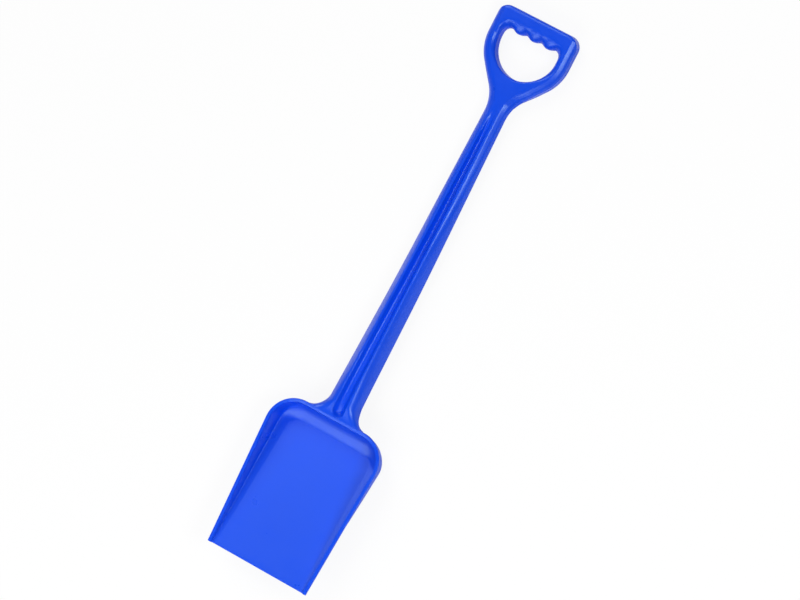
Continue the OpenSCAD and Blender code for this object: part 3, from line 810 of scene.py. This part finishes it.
def bar_grid(back):
    rows = []
    for inner, outer, pad, ridge in bar_stops():
        row = arm_row(inner, outer, back)
        if not back:
            reach = np.hypot(*np.subtract(outer, inner))
            pads = rounding(reach * ACROSS, *lerp(HOLLOW_ROLL, RIDGE_ROLL, ridge))
            side = facet(GRIP_HALF - row[:, 0], *OUTER_FACET)
            top = rounding(reach * (1 - ACROSS), TOP_ROUNDING, TOP_ROUNDING)
            row[:, 2] = (GRIP_THICKNESS - np.maximum(side, top)
                         - lerp(facet(reach * ACROSS, *INNER_FACET), pads, pad))
        rows.append(row)
    half = np.array(rows)
    return np.concatenate([half[::-1], (half * [-1, 1, 1])[1:]])


grid_skin("crossbar", bar_grid(False), bar_grid(True), (True, True))

# %% [markdown]
# ## Normals across the seams
# If each member were shaded on its own, a thin line would show wherever two of them meet,
# because their normals would differ there. So the normal at each corner of each face is the
# mean over all the faces of all the members that share the point and turn by less than the
# given angle. Sharper turns, such as the foot of a rib, stay crisp. Caps keep out of this.

# %% Shading normals for all skins together
CRISP_ANGLE = math.radians(38)
# Points that agree to one part in so many of a millimetre count as one
WELD = 2000.0
TINY = 1e-12


def face_normals(points, faces):
    """Normals as long as twice the face's area, so that large faces count for more."""
    p = points[faces]
    return np.cross(p[:, 2] - p[:, 0], p[:, 3] - p[:, 1])


def shade_together():
    """Gives every corner of every skin its shading normal."""
    keys, vectors, owners = [], [], []
    for name, skin in skins.items():
        n = face_normals(skin["points"], skin["faces"])
        shown = ~skin["hidden"]
        for corner in range(4):
            at = skin["points"][skin["faces"][:, corner]]
            keys.append(np.where(shown[:, None], np.round(at * WELD), np.nan))
            vectors.append(n)
            owners.append((name, corner))
    keys = np.concatenate(keys)
    vectors = np.concatenate(vectors)
    used = ~np.isnan(keys[:, 0])
    _, spot = np.unique(keys[used], axis=0, return_inverse=True)
    spot = spot.ravel()
    order = np.argsort(spot, kind="stable")
    group_start = np.searchsorted(spot[order], np.arange(spot.max() + 2))
    vec = vectors[used]
    unit = vec / np.maximum(np.linalg.norm(vec, axis=1), TINY)[:, None]
    total = np.zeros_like(vec)
    counts = np.diff(group_start)
    for shift in range(counts.max()):
        has = counts[spot] > shift
        other = order[np.minimum(group_start[spot] + shift, len(order) - 1)]
        close = np.einsum("ij,ij->i", unit, unit[other]) > math.cos(CRISP_ANGLE)
        pick = has & close
        total[pick] += vec[other[pick]]
    length = np.linalg.norm(total, axis=1)
    total = np.where(length[:, None] > 1e-9, total / np.maximum(length, TINY)[:, None], unit)
    every = vectors / np.maximum(np.linalg.norm(vectors, axis=1), TINY)[:, None]
    every[used] = total
    start = 0
    for name, corner in owners:
        count = len(skins[name]["faces"])
        normals = skins[name].setdefault("normals", np.zeros((count, 4, 3)))
        normals[:, corner] = every[start : start + count]
        start += count


shade_together()
print("faces in all skins:", sum(len(s["faces"]) for s in skins.values()))

# %% [markdown]
# ## From skins to pieces
# Each skin becomes one mesh object in metres, rides on the body of the CAD model and stands for
# the node that it covers. Corners of the skin that fall together are one point of the mesh, and
# faces with no area are left out.

# %% Build the pieces
MM = 0.001
SAME_SHADING = 0.9998
pieces = {}


def mark_crisp_edges(mesh, normals):
    """An edge is sharp where the two faces beside it are shaded with different normals."""
    count = len(mesh.loops)
    edge, vertex = np.zeros(count, int), np.zeros(count, int)
    mesh.loops.foreach_get("edge_index", edge)
    mesh.loops.foreach_get("vertex_index", vertex)
    following = np.arange(1, count + 1)
    for polygon in mesh.polygons:
        following[polygon.loop_start + polygon.loop_total - 1] = polygon.loop_start
    first = {}
    sharp = np.zeros(len(mesh.edges), bool)
    for a in range(count):
        b = first.setdefault(edge[a], a)
        if b != a:
            ends = ((a, following[b]), (following[a], b))
            sharp[edge[a]] = any(normals[p] @ normals[q] < SAME_SHADING for p, q in ends)
    mesh.edges.foreach_set("use_edge_sharp", sharp)


def make_piece(node, skin):
    keys = np.round(skin["points"] * WELD).astype(np.int64)
    _, first, spot = np.unique(keys, axis=0, return_index=True, return_inverse=True)
    spot = spot.ravel()
    verts = (skin["points"][first] - [0, LENGTH / 2, 0]) * MM
    polygons, normals = [], []
    for face, corner_normals in zip(spot[skin["faces"]], skin["normals"]):
        keep = [k for k in range(4) if face[k] != face[k - 1]]
        if len(keep) > 2 and len(set(face[keep])) == len(keep):
            polygons.append([int(face[k]) for k in keep])
            normals += [corner_normals[k] for k in keep]
    mesh = bpy.data.meshes.new(node + "_skin")
    mesh.from_pydata(verts.tolist(), [], polygons)
    mesh.polygons.foreach_set("use_smooth", [True] * len(polygons))
    mark_crisp_edges(mesh, np.array(normals))
    mesh.normals_split_custom_set([tuple(n) for n in normals])
    piece = bpy.data.objects.new(node + "_skin", mesh)
    bpy.context.scene.collection.objects.link(piece)
    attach(piece, "root")
    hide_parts(node)
    pieces[node] = piece
    print(piece.name, "has", len(polygons), "faces")


for node, skin in skins.items():
    make_piece(node, skin)

# %% [markdown]
# ## Glossy moulded plastic
# The pieces are one moulding, so they share one material. The colour is in the plastic itself
# and is cloudy by a few per cent, as the dye never mixes quite evenly. A moulding is no perfect
# mirror either: the steel of the mould leaves a fine grain, and the walls shrink a little as
# they cool, which makes the gloss waver. A picture could give that look too, but noise textures
# need no unwrapping. They read the object's own coordinates, so the finish stays put from every
# side. The reflection is tinted a little, because the plastic's blue shines through it.

# %% Material
PLASTIC_COLOUR = (0.001, 0.064, 0.77, 1)
PLASTIC_DEEPER = (0.001, 0.060, 0.73, 1)
REFLECTION_TINT = (0.7, 1, 1, 1)
SMOOTHEST, ROUGHEST = 0.27, 0.35
# Sizes of the patterns, as repeats in a metre
CLOUDS, WAVERING, SHRINKAGE, GRAIN = 7, 45, 60, 2600
# Heights of the relief in metres, and how strongly it tilts the normals
GRAIN_HEIGHT, GRAIN_STRENGTH = 0.0001, 0.12
SHRINKAGE_HEIGHT, SHRINKAGE_STRENGTH = 0.0003, 0.25


def moulded_plastic():
    material = bpy.data.materials.new("blue_moulded_plastic")
    material.use_nodes = True
    nodes, links = material.node_tree.nodes, material.node_tree.links
    shader = nodes["Principled BSDF"]
    shader.inputs["IOR"].default_value = 1.53
    shader.inputs["Specular IOR Level"].default_value = 0.5
    shader.inputs["Specular Tint"].default_value = REFLECTION_TINT
    place = nodes.new("ShaderNodeTexCoord")

    def noise(scale, detail, rough=0.5):
        node = nodes.new("ShaderNodeTexNoise")
        node.inputs["Scale"].default_value = scale
        node.inputs["Detail"].default_value = detail
        node.inputs["Roughness"].default_value = rough
        links.new(place.outputs["Object"], node.inputs["Vector"])
        return node

    def ramp(source, low, high, a, b):
        """Turns values from low to high into values from a to b."""
        node = nodes.new("ShaderNodeMapRange")
        for key, value in (("From Min", low), ("From Max", high), ("To Min", a), ("To Max", b)):
            node.inputs[key].default_value = value
        links.new(source, node.inputs["Value"])
        return node.outputs["Result"]

    clouds = noise(CLOUDS, 1)
    tint = nodes.new("ShaderNodeMix")
    tint.data_type = "RGBA"
    tint.inputs["A"].default_value = PLASTIC_COLOUR
    tint.inputs["B"].default_value = PLASTIC_DEEPER
    links.new(ramp(clouds.outputs["Fac"], 0.25, 0.75, 0, 1), tint.inputs["Factor"])
    links.new(tint.outputs["Result"], shader.inputs["Base Color"])

    gloss = noise(WAVERING, 4, 0.6)
    roughness = ramp(gloss.outputs["Fac"], 0.3, 0.7, SMOOTHEST, ROUGHEST)
    links.new(roughness, shader.inputs["Roughness"])

    grain = noise(GRAIN, 2)
    shrink = noise(SHRINKAGE, 2)
    fine = nodes.new("ShaderNodeBump")
    fine.inputs["Strength"].default_value = GRAIN_STRENGTH
    fine.inputs["Distance"].default_value = GRAIN_HEIGHT
    links.new(grain.outputs["Fac"], fine.inputs["Height"])
    soft = nodes.new("ShaderNodeBump")
    soft.inputs["Strength"].default_value = SHRINKAGE_STRENGTH
    soft.inputs["Distance"].default_value = SHRINKAGE_HEIGHT
    links.new(shrink.outputs["Fac"], soft.inputs["Height"])
    links.new(fine.outputs["Normal"], soft.inputs["Normal"])
    links.new(soft.outputs["Normal"], shader.inputs["Normal"])
    return material


plastic = moulded_plastic()
for piece in pieces.values():
    piece.data.materials.append(plastic)
print("material:", plastic.name)

# %% [markdown]
# ## Camera
# The photograph looks almost straight down on the front, from a little to the right and toward
# the grip, with the shovel turned in the frame. The three angles came from comparing outlines.
# A long lens far away keeps the edges nearly parallel, as they are there. The distance is in
# millimetres, and the shift is a few pixels that centre the shovel as it is in the photograph.

# %% Camera at the photograph's angle
YAW, PITCH, ROLL = math.radians(16.62), math.radians(-4.874), math.radians(26.977)
DISTANCE = 4045.4
PIXELS_PER_MM = 1.0968
FRAME_WIDTH = 800
SHIFT_X, SHIFT_Y = 5.68, -3.33
SENSOR = 36
CLIP_END = 20


def view_axes():
    """Rows: the camera's right, up and backward directions in the object's frame."""
    cy, sy, cp, sp = math.cos(YAW), math.sin(YAW), math.cos(PITCH), math.sin(PITCH)
    cr, sr = math.cos(ROLL), math.sin(ROLL)
    turn = np.array([[cy, 0, -sy], [0, 1, 0], [sy, 0, cy]])
    tip = np.array([[1, 0, 0], [0, cp, sp], [0, -sp, cp]])
    spin = np.array([[cr, sr, 0], [-sr, cr, 0], [0, 0, 1]])
    return spin @ tip @ turn


axes = view_axes()
camera_data = bpy.data.cameras.new("camera")
camera = bpy.data.objects.new("camera", camera_data)
bpy.context.scene.collection.objects.link(camera)
camera_data.sensor_width = SENSOR
camera_data.lens = PIXELS_PER_MM * DISTANCE / FRAME_WIDTH * SENSOR
camera_data.clip_end = CLIP_END
place = np.array([-SHIFT_X / PIXELS_PER_MM, SHIFT_Y / PIXELS_PER_MM, DISTANCE]) @ axes
camera.matrix_world = Matrix.Translation(Vector(place * MM)) @ Matrix(axes.T.tolist()).to_4x4()
bpy.context.scene.camera = camera
print("lens:", round(camera_data.lens, 1), "mm, at", [round(float(v), 3) for v in place * MM])

# %% [markdown]
# ## Floor
# The shovel lies on a pale sheet. A product photograph is cleared to white around the object.
# The same is done here with a mix that only camera rays see: most of the sheet looks white to
# the camera, no extra light falls on the plastic, and the shadow still shows faintly.

# %% Floor
FLOOR_HALF = 6.0
FLOOR_GAP = 0.0002
CLEARED_SHARE = 0.9


def floor_material():
    """Matt paper, mostly cleared to white where the camera looks at it."""
    material = bpy.data.materials.new("pale_sheet")
    material.use_nodes = True
    nodes, links = material.node_tree.nodes, material.node_tree.links
    paper = nodes["Principled BSDF"]
    paper.inputs["Base Color"].default_value = (0.86, 0.86, 0.86, 1)
    paper.inputs["Roughness"].default_value = 0.9
    paper.inputs["Specular IOR Level"].default_value = 0.1
    clear = nodes.new("ShaderNodeEmission")
    clear.inputs["Color"].default_value = (1, 1, 1, 1)
    seen = nodes.new("ShaderNodeLightPath")
    share = nodes.new("ShaderNodeMath")
    share.operation = "MULTIPLY"
    share.inputs[1].default_value = CLEARED_SHARE
    mix = nodes.new("ShaderNodeMixShader")
    links.new(seen.outputs["Is Camera Ray"], share.inputs[0])
    links.new(share.outputs["Value"], mix.inputs["Fac"])
    links.new(paper.outputs["BSDF"], mix.inputs[1])
    links.new(clear.outputs["Emission"], mix.inputs[2])
    links.new(mix.outputs["Shader"], nodes["Material Output"].inputs["Surface"])
    return material


floor_mesh = bpy.data.meshes.new("floor")
floor_mesh.from_pydata([(-FLOOR_HALF, -FLOOR_HALF, 0), (FLOOR_HALF, -FLOOR_HALF, 0),
                        (FLOOR_HALF, FLOOR_HALF, 0), (-FLOOR_HALF, FLOOR_HALF, 0)],
                       [], [(0, 1, 2, 3)])
floor = bpy.data.objects.new("floor", floor_mesh)
floor.location.z = cad_low[2] - FLOOR_GAP
bpy.context.scene.collection.objects.link(floor)
floor_mesh.materials.append(floor_material())
print("floor:", 2 * FLOOR_HALF, "m square, just below the shovel")

# %% [markdown]
# ## Lamps
# Glossy plastic shows its lamps, so each one has a place in a reflection. The big far lamp at
# the upper left lights the floor of the pan and the broad band on its rear wall, while the flat
# faces of the grip mirror the dark beside it. A lower one at the foot of the picture reaches
# the neck and the rear lip, and a small one at the right draws the streaks on the arms. Places
# are given as the camera sees them, with the shovel upright, which makes them easy to move.
# Distances and sizes are in metres, and the power is in watts.

# %% Lamps
AIM = Vector((0, 0, 0.01))


def shovel_view():
    """Rows: across the shovel, along it and to the eye, as the camera sees them, without roll."""
    return Matrix(((math.cos(ROLL), -math.sin(ROLL), 0), (math.sin(ROLL), math.cos(ROLL), 0),
                   (0, 0, 1))) @ Matrix(axes.tolist())


def soft_lamp(name, towards, distance, size, power):
    """A soft lamp, given by its direction as the camera sees it: across the shovel to the
    right, along it to the grip, and to the eye. Its width lies across the shovel."""
    towards = np.array(towards, float) / np.linalg.norm(towards)
    width = np.array([towards[2], 0, -towards[0]])
    width /= np.linalg.norm(width)
    turn = np.stack([width, np.cross(towards, width), towards], 1)
    turn = Matrix((np.array(shovel_view()).T @ turn).tolist())
    direction = turn.col[2]
    data = bpy.data.lights.new(name, "AREA")
    data.shape = "RECTANGLE"
    data.size, data.size_y = size
    data.energy = power
    lamp = bpy.data.objects.new(name, data)
    lamp.matrix_world = Matrix.Translation(AIM + direction * distance) @ turn.to_4x4()
    bpy.context.scene.collection.objects.link(lamp)
    print(name, "stands at", [round(v, 2) for v in lamp.location])


soft_lamp("upper_lamp", (-0.71, 0.45, 0.54), 5.0, (3.6, 2.8), 140)
soft_lamp("foot_lamp", (-0.12, -0.78, 0.61), 1.6, (1.6, 1.0), 16)
soft_lamp("right_lamp", (0.43, 0.02, 0.90), 2.2, (0.6, 0.9), 19)

# %% [markdown]
# ## The room around
# The rest of the studio is dim and a little cool. It fills the shadows without drawing a
# reflection of its own. Camera rays see white instead, like the floor.

# %% World
ROOM_COLOUR = (0.93, 0.95, 1, 1)
ROOM_STRENGTH = 0.14

world = bpy.data.worlds.new("studio")
bpy.context.scene.world = world
world.use_nodes = True
nodes, links = world.node_tree.nodes, world.node_tree.links
around = nodes["Background"]
around.inputs["Color"].default_value = ROOM_COLOUR
around.inputs["Strength"].default_value = ROOM_STRENGTH
clear = nodes.new("ShaderNodeBackground")
clear.inputs["Color"].default_value = (1, 1, 1, 1)
seen = nodes.new("ShaderNodeLightPath")
mix = nodes.new("ShaderNodeMixShader")
links.new(seen.outputs["Is Camera Ray"], mix.inputs["Fac"])
links.new(around.outputs["Background"], mix.inputs[1])
links.new(clear.outputs["Background"], mix.inputs[2])
links.new(mix.outputs["Shader"], nodes["World Output"].inputs["Surface"])
bpy.context.scene.view_settings.view_transform = "Standard"
print("the room shines at", ROOM_STRENGTH, "of full white")
